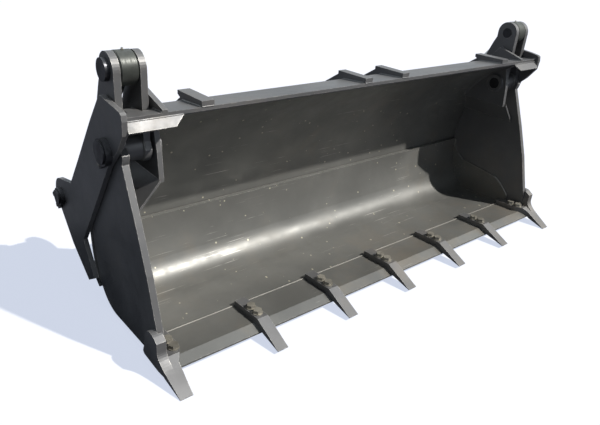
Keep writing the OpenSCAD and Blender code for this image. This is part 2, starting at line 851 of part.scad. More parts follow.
module inner_ear(side) {
    on_side(side) color(paint) plate(ear_in, ear_out) difference() {
        ear_outline(inner_lobe_r);
        translate(pivot) circle(hub_bore_r);
        translate(lever) circle(lever_pin_r + fit);
    }
}

module hub_tube(side) {
    on_side(side) color(paint) collar(pivot, hub_bore_r, pivot_pin_r + hub_wall, ear_out, side_in);
}

// Liner plates low on the side plates' inner faces
liner_t = 8;
liner_share = [[0.60, 0.130], [0.735, 0.205], [0.83, 0.2425], [1.073, 0.259], [1.25, 0.270],
    [1.385, 0.276], [1.49, 0.3175]];

module side_liner(side) {
    on_side(side) color(paint) plate(side_in - liner_t, side_in - fit) intersection() {
        polygon(concat(spread(liner_share, pivot), [[curve_y + clam_r, ledge_z], [curve_y + clam_r, 0],
            [seam_y, 0], [liner_share[0][0] * pivot_y, floor_top(seam_y)]]));
        polygon(concat([[0, ledge_z]], [[seam_y, ledge_z]],
            shell_path(clam_r - back_t - fit, heel_r - back_t - fit, floor_t + fit, bevel_y),
            [[0, floor_top(0) + fit]]));
    }
}

// Lever pins carry washers beside the rod eye, and a cap outside
cap_r = 40;
cap_len = 18;
pin_end = 3;
lever_washer_r = 54;
washer_gap = (clevis_gap - eye_w) / 2 - 2 * fit;

module lever_pin(side) {
    on_side(side) color(steel) {
        bar_x(lever, lever_pin_r, ear_in - pin_end, side_out);
        bar_x(lever, cap_r, side_out, side_out + cap_len);
        bar_x(lever, lever_washer_r, ear_out + fit, ear_out + washer_gap);
        bar_x(lever, lever_washer_r, side_in - washer_gap, side_in - fit);
    }
}

// Cylinders lie from the base pin to the lever pin: sizes of a barrel
base_eye_r = 54;
barrel_end_t = 22;
port_r = 15;
port_len = 26;
port_inset = 34;
neck_r = 28;
neck_len = 8;
bore_start = base_eye_r + neck_len + barrel_end_t;
bore_r = barrel_r - barrel_wall;

module barrel(side) {
    on_side(side) color(paint) difference() {
        union() {
            bar_x(base, base_eye_r, ram_x - eye_w / 2, ram_x + eye_w / 2);
            ram_cylinder(neck_r, 0, base_eye_r + neck_len);
            ram_cylinder(barrel_r, base_eye_r + neck_len, barrel_len);
            for (at = [bore_start + port_inset, barrel_len - port_inset])
                ram_port(at);
        }
        ram_cylinder(bore_r, bore_start, barrel_len + over);
        bar_x(base, base_pin_r + run_fit, ram_x - eye_w, ram_x + eye_w);
    }
}

// A round bar along the cylinder, from the base pin's centre
module ram_cylinder(r, from, to) {
    translate([ram_x, base_y, base_z]) rotate([ram_angle, 0, 0]) rotate([-90, 0, 0])
        translate([0, 0, from]) cylinder(r = r, h = to - from);
}

module ram_port(at) {
    translate([ram_x, base_y + at * ram_dir[0], base_z + at * ram_dir[1]])
        rotate([ram_angle - 90, 0, 0]) rotate([-90, 0, 0])
        translate([0, 0, barrel_r - barrel_wall / 2]) cylinder(r = port_r, h = port_len);
}

gland_len = 42;
gland_r = barrel_r + 7;
gland_lap = 30;

module gland(side) {
    on_side(side) color(steel) difference() {
        union() {
            ram_cylinder(gland_r, barrel_len, barrel_len + gland_len);
            ram_cylinder(bore_r - run_fit, barrel_len - gland_lap, barrel_len);
        }
        ram_cylinder(rod_r + run_fit, barrel_len - gland_lap - over, barrel_len + gland_len + over);
    }
}

piston_at = 306;
piston_len = 56;

// The rod ends on the round of its eye
module rod(side) {
    on_side(side) color(steel) difference() {
        union() {
            ram_cylinder(bore_r - run_fit, piston_at, piston_at + piston_len);
            ram_cylinder(rod_r, piston_at, ram_len - eye_bore_r);
        }
        bar_x(lever, eye_r, ram_x - eye_w, ram_x + eye_w);
    }
}

module rod_eye(side) {
    on_side(side) color(steel) translate([ram_x - eye_w / 2, lever[0], lever[1]]) rotate([0, 90, 0])
        difference() {
            union() {
                cylinder(r1 = eye_r - eye_bevel, r2 = eye_r, h = eye_bevel);
                translate([0, 0, eye_bevel]) cylinder(r = eye_r, h = eye_w - 2 * eye_bevel);
                translate([0, 0, eye_w - eye_bevel]) cylinder(r1 = eye_r, r2 = eye_r - eye_bevel, h = eye_bevel);
            }
            translate([0, 0, -over]) cylinder(r = eye_bore_r, h = eye_w + 2 * over);
        }
}

// The origin is under the middle of the part, on the ground
depth_front = 0;
depth_rear = base_y + lobe_r;
module place() {
    translate([0, -(depth_front + depth_rear) / 2, 0]) children();
}

place() blade();
place() top_beam();
place() dozer_edge();
place() cross_tube();
place() end_plate("left");  // end_plate_left
place() end_plate("right");  // end_plate_right
place() cheek("left");  // cheek_left
place() cheek("right");  // cheek_right
place() end_deck("left");  // end_deck_left
place() end_deck("right");  // end_deck_right
place() hood("left");  // hood_left
place() hood("right");  // hood_right
place() hinge_guard("left");  // hinge_guard_left
place() hinge_guard("right");  // hinge_guard_right
place() side_rib("left");  // side_rib_left
place() side_rib("right");  // side_rib_right
place() tilt_ear("left");  // tilt_ear_left
place() tilt_ear("right");  // tilt_ear_right
place() arm_ears("left");  // arm_ears_left
place() arm_ears("right");  // arm_ears_right
place() pivot_pin("left");  // pivot_pin_left
place() pivot_pin("right");  // pivot_pin_right
place() base_pin("left");  // base_pin_left
place() base_pin("right");  // base_pin_right
place() pin_bosses("left");  // pin_bosses_left
place() pin_bosses("right");  // pin_bosses_right
place() pin_keepers("left");  // pin_keepers_left
place() pin_keepers("right");  // pin_keepers_right
place() keeper_bolts();
place() clam_shell();
place() cutting_edge();
place() tooth(1);  // tooth_1
place() tooth(2);  // tooth_2
place() tooth(3);  // tooth_3
place() tooth(4);  // tooth_4
place() tooth(5);  // tooth_5
place() tooth_bolts();
place() tooth_nuts();
place() wear_strips();
place() side_plate("left");  // side_plate_left
place() side_plate("right");  // side_plate_right
place() inner_ear("left");  // inner_ear_left
place() inner_ear("right");  // inner_ear_right
place() hub_tube("left");  // hub_tube_left
place() hub_tube("right");  // hub_tube_right
place() side_liner("left");  // side_liner_left
place() side_liner("right");  // side_liner_right
place() corner_tooth("left");  // corner_tooth_left
place() corner_tooth("right");  // corner_tooth_right
place() lever_pin("left");  // lever_pin_left
place() lever_pin("right");  // lever_pin_right
place() barrel("left");  // barrel_left
place() barrel("right");  // barrel_right
place() gland("left");  // gland_left
place() gland("right");  // gland_right
place() rod("left");  // rod_left
place() rod("right");  // rod_right
place() rod_eye("left");  // rod_eye_left
place() rod_eye("right");  // rod_eye_right
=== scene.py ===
"""Finish of a four in one bucket: graphite paint, steel pins, welds and the photo's view."""

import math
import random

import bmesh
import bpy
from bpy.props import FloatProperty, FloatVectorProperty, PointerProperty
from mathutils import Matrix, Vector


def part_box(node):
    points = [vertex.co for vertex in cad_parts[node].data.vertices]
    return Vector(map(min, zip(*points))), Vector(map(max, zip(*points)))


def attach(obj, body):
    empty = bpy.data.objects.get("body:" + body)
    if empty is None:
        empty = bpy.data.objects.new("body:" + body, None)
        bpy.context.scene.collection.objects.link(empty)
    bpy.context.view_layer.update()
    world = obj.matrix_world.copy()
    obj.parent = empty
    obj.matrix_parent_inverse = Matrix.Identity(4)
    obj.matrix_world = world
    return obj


bl_info = {
    "name": "Four in One Bucket Finish",
    "version": (1, 0, 0),
    "blender": (4, 5, 0),
    "location": "View3D > Sidebar > Bucket",
    "description": "Paints and details a loader's four in one bucket",
    "category": "Object",
}

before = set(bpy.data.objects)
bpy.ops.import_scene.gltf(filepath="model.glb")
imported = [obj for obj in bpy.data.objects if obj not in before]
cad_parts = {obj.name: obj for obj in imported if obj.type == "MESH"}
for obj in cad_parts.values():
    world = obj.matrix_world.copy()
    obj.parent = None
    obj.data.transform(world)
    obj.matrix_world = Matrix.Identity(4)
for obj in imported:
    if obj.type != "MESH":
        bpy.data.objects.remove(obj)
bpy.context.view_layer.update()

SIDES = ("left", "right")
MM = 0.001
# The model's origin lies this far behind the tooth tips
ORIGIN_Y = 566


def at(x, y, z):
    """A point in metres from millimetres measured from the tooth tips."""
    return Vector((x * MM, (y - ORIGIN_Y) * MM, z * MM))


def edge_of(name, axis, end):
    """A node's lowest (0) or highest (1) place along an axis, in millimetres from the tooth tips."""
    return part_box(name)[end][axis] / MM + (ORIGIN_Y if axis == 1 else 0)


# Lengths up to the class of sizes are in millimetres. First the side view of the blade and of the clam's shell
CURVE = (122, 334)
BLADE_T, BACK_GAP, BACK_T, FLOOR_T, HEEL_R, BEVEL_Y = 14, 4, 20, 20, 165, 165
FLOOR_SLOPE = math.radians(3.4)
BLADE_BACK_R = edge_of("blade", 1, 1) - CURVE[0]
BLADE_FRONT_R = BLADE_BACK_R - BLADE_T
CLAM_R = BLADE_FRONT_R - BACK_GAP
SIDE_IN = edge_of("side_plate_right", 0, 0)
CHEEK_IN, CHEEK_OUT = edge_of("cheek_right", 0, 0), edge_of("cheek_right", 0, 1)
END_IN = edge_of("end_plate_right", 0, 0)
SEAM_Y = edge_of("cutting_edge", 1, 1)
SEAM_Z = edge_of("cutting_edge", 2, 1) - (SEAM_Y - BEVEL_Y) * math.tan(FLOOR_SLOPE)
# How far the floor's seam ends inside the side plates
SEAM_INSET = 1
# Top edge of a liner plate
LINER_TOP = ((288, 104), (353, 164), (398, 194), (515, 207), (600, 216), (665, 221), (715, 254))
LINER_T, LINER_BEAD_IN = 8, 0.4

# Pins of the hinge and of the cylinder's foot, and the hubs and collars round them
PIVOT, BASE = (480, 800), (1050, 388)
HUB_R, COLLAR_R, BASE_COLLAR_R = 50, 48, 42
# The frame's plates: fall of the beam, foot of the cheek, and the arm ears' middle and faces
BEAM_FALL = 14
CHEEK_LOW_Z = 676
RIB_T = 20
ARM_X = 480
ARM_FACES = (-80, -48, 48, 80)
# Where welds behind the blade start and end, in degrees about its centre
CHEEK_REAR, RIB_REAR, TILT_REAR, ARM_LOW, ARM_HIGH = (8, 58), (8, 55), (15, 55), (-12, -6), (6, 22)
# How far welds keep from the beam's front and rear, and how low they lie on its sloping top
BAR_FRONT_IN, BAR_REAR_IN, BAR_SINK, BAR_RISE = 8, 2, 0.8, 0.2
BAR_NOSE_IN, WEDGE_IN, WEDGE_REAR_IN, WEDGE_FALL = 1.5, 2, 70, 7
DECK_REAR_IN, DECK_FALL, HOOD_LEAD, BLADE_TOP_IN, TUBE_IN = 80, 6, 1, 2, 6

# Barrel of a cylinder, and its two ports
BARREL_R, PORT_TOP, PORT_WELD_R = 44, 66, 15.5
PORTS_AT = (118, 486)
# Height and radius along a port's seat, its plug and a grease point
SEAT = ((0, 12.5), (2.5, 12.5), (3, 12))
PLUG = ((0, 10), (0.4, 11), (6, 11), (8, 9.3))
GREASE_POINT = ((0, 6), (3, 6), (3.5, 4.2), (5, 3), (5.6, 4.2), (7, 4.2), (8.2, 2.8), (8.8, 1.4))
SINK, PLUG_RISE = 1, 1.5

# A weld's ring of points, its step and its ripples as shares of its radius
RING = 8
BEAD_STEP, BEAD_END, BEAD_HIGH, BEAD_LOW, BEAD_CHANCE = 0.8, 0.5, 1.1, 0.93, 0.07
# Sizes of thinner and thicker welds, as shares of the common one
SMALL, FINE, LIGHT, HEAVY = 0.6, 0.7, 0.8, 1.2
# Steps of a weld round a hub or a collar, and round a port
CIRCLE_STEPS, PORT_STEPS = 40, 24
# Least angle that stays sharp on a turned piece, and least angle of a plate's edge that is rounded
SHARP, PLATE_EDGE = math.radians(30), math.radians(32)

# Share of metal flake in the paint, and how dark and light its soft patches go
FLAKE = 0.35
DARK_PATCH, LIGHT_PATCH = 0.86, 1.14
# Scale, detail and roughness of the noise in the paint
PATCHES, FINE_DUST, WIDE_DUST = (2.2, 5.0, 0.6), (7.0, 8.0, 0.7), (1.1, 3.0)
GLOSS, CHIPS, PEEL, DENTS, SPOTS = (5.0, 6.0, 0.65), (60.0, 5.0), (260.0, 3.0), (6.0, 2.0), (31.0, 0.0)
# Where in their patterns soft changes, dust, chips, pale edges (worn paint and painted highlight), specks and
# fields of specks start and are full
MIDDLE, DUST_RANGE, CHIP_RANGE, EDGE_RANGE = (0.3, 0.7), (0.22, 0.42), (0.42, 0.62), (0.96, 0.8)
SPECK_RANGE, SPOT_RANGE = (0.14, 0.08), (0.58, 0.6)
# Pale edge, of worn paint and painted highlight, between the chips, as a share of that in the chips
LEAST_CHIP = 0.15
# The same patterns and ranges for steel, its darker share and the stretch of its turned marks
TARNISH, DIRT, TURNING, GRAIN = (14.0, 6.0, 0.65), (45.0, 6.0, 0.7), (8.0, 4.0), (300.0, 3.0)
TARNISH_RANGE, DIRT_RANGE = (0.35, 0.7), (0.5, 0.72)
DARK_STEEL, TURNING_STRETCH = 0.55, (30.0, 3.0, 3.0)
# How far roughness varies on paint and on steel
PAINT_SPREAD, STEEL_SPREAD = (-0.07, 0.12), (-0.06, 0.14)
# Directions, stretch and strength of the scratches, then pattern and range of their lines and of their fields
SCRATCH_TURNS, SCRATCH_STRETCH, SCRATCH_SHARE = ((0.3, 0.2, 0.25), (0.1, -0.4, 1.2)), (2.2, 160.0, 160.0), 0.6
LINES, LINE_RANGE = (1.0, 3.0), (0.655, 0.69)
FIELD_STRETCH, FIELDS, FIELD_RANGE = (3.0, 3.0, 3.0), (1.3, 3.0), (0.62, 0.72)
# Turn, stretch and scale of the specks
SPECK_TURN, SPECK_STRETCH, SPECK_SCALE = (0.0, 0.0, 0.7), (1.0, 0.55, 1.0), 26.0
SOIL = (0.62, 0.58, 0.44)
GRIME = (0.04, 0.036, 0.03)
CHROME = (0.62, 0.62, 0.6)


class BucketSizes(bpy.types.PropertyGroup):
    """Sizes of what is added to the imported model"""

    weld_r: FloatProperty(name="Weld", description="Radius of a fillet weld", default=0.0055, unit="LENGTH")
    seam_r: FloatProperty(name="Seam", description="Radius of the floor's seam", default=0.0042, unit="LENGTH")
    edge_round: FloatProperty(name="Edge", description="Rounding of plate edges", default=0.0016, unit="LENGTH")


class BucketColours(bpy.types.PropertyGroup):
    """Colours of the bucket's finishes"""

    paint: FloatVectorProperty(
        name="Paint", description="Graphite paint", default=(0.15, 0.15, 0.152), subtype="COLOR", size=3)
    shell: FloatVectorProperty(
        name="Shell", description="Paint inside the bowl", default=(0.165, 0.165, 0.155),
        subtype="COLOR", size=3)
    dust: FloatVectorProperty(
        name="Dust", description="Dry soil on the paint", default=(0.24, 0.2, 0.15), subtype="COLOR", size=3)
    # Pale steel for the glands, scratches and worn edges; on the edges it is also lightened to paint in their
    # highlight
    bare_steel_and_edge_highlight: FloatVectorProperty(
        name="Bare steel", description="Steel where paint has worn off", default=(0.6, 0.58, 0.54),
        subtype="COLOR", size=3)
    pin: FloatVectorProperty(
        name="Pins", description="Dark oiled pin steel", default=(0.06, 0.061, 0.066), subtype="COLOR", size=3)
    bolt: FloatVectorProperty(
        name="Bolts", description="Yellowish plated bolts", default=(0.36, 0.34, 0.29), subtype="COLOR", size=3)
    eye: FloatVectorProperty(
        name="Rod eyes", description="Grey green cast eyes", default=(0.075, 0.08, 0.07),
        subtype="COLOR", size=3)
    seam: FloatVectorProperty(
        name="Seam", description="Pale weld along the floor's seam", default=(0.17, 0.165, 0.15),
        subtype="COLOR", size=3)
    floor: FloatVectorProperty(
        name="Floor", description="Pale floor", default=(0.96, 0.92, 0.86), subtype="COLOR", size=3)


class BucketStage(bpy.types.PropertyGroup):
    """Lamps and camera"""

    sun: FloatProperty(name="Sun", description="Strength of the main lamp", default=4.6, min=0.0)
    sky: FloatProperty(name="Sky", description="Strength of the soft light all round", default=0.09, min=0.0)
    lens: FloatProperty(name="Lens", description="Focal length in millimetres", default=34.64, min=1.0)


def settings():
    return bpy.context.scene.bucket_sizes, bpy.context.scene.bucket_colours, bpy.context.scene.bucket_stage


def new_material(name, base, roughness, metallic=0.0):
    """A material and its Principled shader."""
    material = bpy.data.materials.new(name)
    material.use_nodes = True
    shader = material.node_tree.nodes["Principled BSDF"]
    shader.inputs["Base Color"].default_value = (*base, 1.0)
    shader.inputs["Roughness"].default_value = roughness
    shader.inputs["Metallic"].default_value = metallic
    return material, shader


def node(material, kind, **values):
    """A node of that kind; a value goes to the input or the property of its name."""
    made = material.node_tree.nodes.new("ShaderNode" + kind)
    for key, value in values.items():
        if hasattr(made, key):
            setattr(made, key, value)
        else:
            made.inputs[key.replace("_", " ")].default_value = value
    return made


def link(material, source, target):
    material.node_tree.links.new(source, target)


def place(material, scale=(1, 1, 1), turn=(0, 0, 0)):
    """The point on the surface, in the part's own metres, stretched by scale."""
    coordinates = node(material, "TexCoord")
    mapping = node(material, "Mapping")
    mapping.inputs["Scale"].default_value = scale
    mapping.inputs["Rotation"].default_value = turn
    link(material, coordinates.outputs["Object"], mapping.inputs["Vector"])
    return mapping.outputs["Vector"]


def noise(material, where, scale, detail=4.0, roughness=0.55):
    made = node(material, "TexNoise", Scale=scale, Detail=detail, Roughness=roughness)
    link(material, where, made.inputs["Vector"])
    return made.outputs["Fac"]


def ramp(material, value, low, high, start=0.0, end=1.0):
    """The value between low and high, taken smoothly from start to end."""
    made = node(material, "MapRange", interpolation_type="SMOOTHSTEP")
    for key, number in zip(("From Min", "From Max", "To Min", "To Max"), (low, high, start, end)):
        made.inputs[key].default_value = number
    link(material, value, made.inputs["Value"])
    return made.outputs["Result"]


def maths(material, operation, first, second):
    made = node(material, "Math", operation=operation)
    for socket, value in zip(made.inputs, (first, second)):
        if isinstance(value, (int, float)):
            socket.default_value = value
        else:
            link(material, value, socket)
    return made.outputs["Value"]


def mix(material, share, first, second):
    """A colour from first to second, by a share from 0 to 1."""
    made = node(material, "Mix", data_type="RGBA")
    sockets = [made.inputs[0], made.inputs[6], made.inputs[7]]
    for socket, value in zip(sockets, (share, first, second)):
        if isinstance(value, bpy.types.NodeSocket):
            link(material, value, socket)
        elif isinstance(value, (int, float)):
            socket.default_value = value
        else:
            socket.default_value = (*value, 1.0)
    return made.outputs[2]


def mix_shaders(material, share, first, second):
    """A shader from first to second, by a share from 0 to 1."""
    made = node(material, "MixShader")
    for socket, source in zip(made.inputs, (share, first, second)):
        link(material, source, socket)
    return made.outputs["Shader"]


def scratches(material, turn, density):
    """Thin lines along one direction, broken up into fields by a larger pattern."""
    lines = noise(material, place(material, SCRATCH_STRETCH, turn), *LINES)
    where = noise(material, place(material, FIELD_STRETCH, turn), *FIELDS)
    thin = ramp(material, lines, *LINE_RANGE)
    fields = ramp(material, where, *(limit - density for limit in FIELD_RANGE))
    return maths(material, "MULTIPLY", thin, fields)


def edge_wear_and_highlight(material, radius=0.004):
    """1 along outer edges, 0 on flat faces: the mask of worn edges, which also paints a highlight along them.
    """
    soft = node(material, "Bevel", samples=4)
    soft.inputs["Radius"].default_value = radius
    true = node(material, "NewGeometry")
    dot = node(material, "VectorMath", operation="DOT_PRODUCT")
    link(material, soft.outputs["Normal"], dot.inputs[0])
    link(material, true.outputs["Normal"], dot.inputs[1])
    return ramp(material, dot.outputs["Value"], *EDGE_RANGE)


def vary_gloss(material, value, roughness, spread):
    """Roughness that follows a noise, round a middle value."""
    result = ramp(material, value, *MIDDLE, *(roughness + step for step in spread))
    link(material, result, material.node_tree.nodes["Principled BSDF"].inputs["Roughness"])


def paint(name, base, dust, wear, roughness=0.4, scratch=0.0, specks=False):
    """Semi-gloss paint with soft patches, fine orange peel, dust, scratches and pale edges, set by wear, that
    are partly worn paint and partly a painted highlight.
    """
    colours = settings()[1]
    material, shader = new_material(name, base, roughness, FLAKE)
    here = place(material)
    patches = noise(material, here, *PATCHES)
    darker, lighter = (tuple(share * c for c in base) for share in (DARK_PATCH, LIGHT_PATCH))
    colour = mix(material, ramp(material, patches, *MIDDLE), darker, lighter)
    film = maths(material, "MULTIPLY", noise(material, here, *FINE_DUST), noise(material, here, *WIDE_DUST))
    dusty = ramp(material, film, *DUST_RANGE, 0.0, dust)
    colour = mix(material, dusty, colour, colours.dust)
    if scratch:
        marks = maths(material, "MAXIMUM", *(scratches(material, turn, scratch) for turn in SCRATCH_TURNS))
        colour = mix(material, maths(material, "MULTIPLY", marks, SCRATCH_SHARE), colour, colours.bare_steel_and_edge_highlight)
    if specks:
        dots = node(material, "TexVoronoi", Scale=SPECK_SCALE)
        link(material, place(material, SPECK_STRETCH, SPECK_TURN), dots.inputs["Vector"])
        small = ramp(material, dots.outputs["Distance"], *SPECK_RANGE)
        few = ramp(material, noise(material, here, *SPOTS), *SPOT_RANGE)
        colour = mix(material, maths(material, "MULTIPLY", small, few), colour, SOIL)
    chips = ramp(material, noise(material, here, *CHIPS), *CHIP_RANGE, LEAST_CHIP)
    # Pale steel along the edges: partly worn paint, partly a painted highlight that brightens them
    worn = maths(material, "MULTIPLY", edge_wear_and_highlight(material), chips)
    colour = mix(material, maths(material, "MULTIPLY", worn, wear), colour, colours.bare_steel_and_edge_highlight)
    link(material, colour, shader.inputs["Base Color"])
    vary_gloss(material, noise(material, here, *GLOSS), roughness, PAINT_SPREAD)
    peel = node(material, "Bump", Strength=0.16, Distance=0.0006)
    link(material, noise(material, here, *PEEL), peel.inputs["Height"])
    dents = node(material, "Bump", Strength=0.1, Distance=0.006)
    link(material, noise(material, here, *DENTS), dents.inputs["Height"])
    link(material, dents.outputs["Normal"], peel.inputs["Normal"])
    link(material, peel.outputs["Normal"], shader.inputs["Normal"])
    return material


def metal(name, base, roughness, metallic=0.85, grime=0.35):
    """Machined or plated steel with turned marks, tarnish and grime."""
    material, shader = new_material(name, base, roughness, metallic)
    here = place(material)
    tarnish = ramp(material, noise(material, here, *TARNISH), *TARNISH_RANGE)
    colour = mix(material, tarnish, base, tuple(DARK_STEEL * c for c in base))
    dirty = ramp(material, noise(material, here, *DIRT), *DIRT_RANGE, 0.0, grime)
    colour = mix(material, dirty, colour, GRIME)
    link(material, colour, shader.inputs["Base Color"])
    marks = noise(material, place(material, TURNING_STRETCH), *TURNING)
    vary_gloss(material, marks, roughness, STEEL_SPREAD)
    bump = node(material, "Bump", Strength=0.2, Distance=0.0004)
    link(material, noise(material, here, *GRAIN), bump.inputs["Height"])
    link(material, bump.outputs["Normal"], shader.inputs["Normal"])
    return material


def dress(nodes, material):
    """Gives CAD nodes their material and a small rounding of their edges."""
    sizes = settings()[0]
    for name in nodes:
        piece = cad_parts[name]
        piece.data.materials.clear()
        piece.data.materials.append(material)
        rounding = piece.modifiers.new("edge", "BEVEL")
        rounding.width = sizes.edge_round
        rounding.segments = 2
        rounding.limit_method = "ANGLE"
        rounding.angle_limit = PLATE_EDGE
        rounding.harden_normals = True


def pair(*names):
    return [f"{name}_{side}" for name in names for side in SIDES]


def even_steps(path, step):
    """Points along a path, a step apart."""
    points = [path[0]]
    for start, end in zip(path, path[1:]):
        count = max(1, round((end - start).length / step))
        points += [start.lerp(end, i / count) for i in range(1, count + 1)]
    return points


def across(along):
    """Two directions square to a line and to each other."""
    upright = Vector((1, 0, 0) if abs(along.x) < 0.6 else (0, 0, 1))
    first = along.cross(upright).normalized()
    return first, along.cross(first)


def ring_of(mesh, centre, first, second, radius, sides):
    """Points round a centre, in the plane of two directions."""
    return [mesh.verts.new(centre + (first * math.cos(a) + second * math.sin(a)) * radius)
            for a in (math.tau * k / sides for k in range(sides))]


def skin(mesh, rings):
    """Faces from ring to ring, closed at both ends."""
    sides = len(rings[0])
    for low, high in zip(rings, rings[1:]):
        for k in range(sides):
            mesh.faces.new((low[k], low[(k + 1) % sides], high[(k + 1) % sides], high[k]))
    mesh.faces.new(list(reversed(rings[0])))
    mesh.faces.new(rings[-1])


def bead(name, body, path, radius, material):
    """A welded seam: a ridge of overlapping ripples that follows a path."""
    points = even_steps(path, radius * BEAD_STEP)
    chance = random.Random(name)
    mesh = bmesh.new()
    rings = []
    for i, point in enumerate(points):
        along = (points[min(i + 1, len(points) - 1)] - points[max(i - 1, 0)]).normalized()
        end = i in (0, len(points) - 1)
        size = radius * (BEAD_END if end else
                         (BEAD_HIGH if i % 2 else BEAD_LOW) + chance.uniform(-BEAD_CHANCE, BEAD_CHANCE))
        rings.append(ring_of(mesh, point, *across(along), size, RING))
    skin(mesh, rings)
    return keep(name, mesh, body, material)


def keep(name, mesh, body, material):
    """Turns mesh code into a piece that rides on a body."""
    bmesh.ops.recalc_face_normals(mesh, faces=mesh.faces)
    data = bpy.data.meshes.new(name)
    mesh.to_mesh(data)
    mesh.free()
    for face in data.polygons:
        face.use_smooth = True
    data.materials.append(material)
    piece = bpy.data.objects.new(name, data)
    bpy.context.scene.collection.objects.link(piece)
    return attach(piece, body)


def turned(name, body, base, axis, profile, material, sides=24):
    """A turned or hexagonal steel piece: pairs of height and radius along an axis from its base."""
    axis = axis.normalized()
    mesh = bmesh.new()
    skin(mesh, [ring_of(mesh, base + axis * (height * MM), *across(axis), r * MM, sides)
                for height, r in profile])
    piece = keep(name, mesh, body, material)
    piece.data.set_sharp_from_angle(angle=SHARP)
    return piece


def arc_path(x, centre, r, start, end, steps=24):
    """Points of an arc in the side view, between two angles in degrees."""
    angles = [math.radians(start + (end - start) * i / steps) for i in range(steps + 1)]
    return [at(x, centre[0] + r * math.cos(a), centre[1] + r * math.sin(a)) for a in angles]


def height_angle(z, r):
    """The angle at which a circle about the blade's centre reaches a height."""
    return math.degrees(math.asin((z - CURVE[1]) / r))


class BUCKET_OT_paint_frame(bpy.types.Operator):
    """Paint the fixed frame"""

    bl_idname = "bucket.paint_frame"
    bl_label = "Paint frame"

    def execute(self, context):
        colours = context.scene.bucket_colours
        plates = paint("frame_paint", colours.paint, dust=0.2, wear=0.9, roughness=0.43)
        dress(["top_beam", "dozer_edge", "cross_tube"], plates)
        dress(pair("end_plate", "cheek", "end_deck", "hinge_guard", "side_rib", "tilt_ear",
                   "arm_ears", "pin_bosses"), plates)
        dress(pair("hood"), paint("hood_paint", colours.paint, dust=0.3, wear=0.7, roughness=0.5))
        dress(["blade"], paint("blade_paint", colours.shell, dust=0.3, wear=0.3, scratch=0.07, specks=True))
        return {"FINISHED"}


class BUCKET_OT_paint_clam(bpy.types.Operator):
    """Paint the clam, its edge and its teeth"""

    bl_idname = "bucket.paint_clam"
    bl_label = "Paint clam"

    def execute(self, context):
        colours = context.scene.bucket_colours
        dress(["clam_shell"] + pair("side_liner"), paint(
            "shell_paint", colours.shell, dust=0.3, wear=0.9, roughness=0.43, scratch=0.12, specks=True))
        dress(pair("side_plate", "inner_ear", "hub_tube"), paint(
            "clam_paint", colours.paint, dust=0.2, wear=1.0, roughness=0.42))
        dress(["cutting_edge"], paint(
            "edge_paint", colours.shell, dust=0.4, wear=0.9, roughness=0.38, scratch=0.1))
        dress([f"tooth_{i}" for i in range(1, 6)] + pair("corner_tooth"), paint(
            "tooth_paint", colours.paint, dust=0.25, wear=0.8, roughness=0.46))
        dress(["wear_strips"], paint(
            "wear_paint", colours.paint, dust=0.6, wear=0.9, roughness=0.5, scratch=0.1))
        return {"FINISHED"}


class BUCKET_OT_finish_steel(bpy.types.Operator):
    """Finish pins, bolts and cylinders"""

    bl_idname = "bucket.finish_steel"
    bl_label = "Finish steel"

    def execute(self, context):
        colours = context.scene.bucket_colours
        dress(pair("pivot_pin", "base_pin", "lever_pin", "pin_keepers"), metal(
            "pin_steel", colours.pin, roughness=0.36))
        dress(["tooth_bolts", "tooth_nuts", "keeper_bolts"], metal(
            "bolt_steel", colours.bolt, roughness=0.42, metallic=0.45))
        dress(pair("barrel"), paint("barrel_paint", colours.paint, dust=0.2, wear=0.4, roughness=0.36))
        dress(pair("gland"), metal("gland_steel", colours.bare_steel_and_edge_highlight, roughness=0.34))
        dress(pair("rod"), metal("rod_chrome", CHROME, roughness=0.16, metallic=1.0, grime=0.15))
        dress(pair("rod_eye"), metal("eye_steel", colours.eye, roughness=0.42, metallic=0.25, grime=0.4))
        return {"FINISHED"}


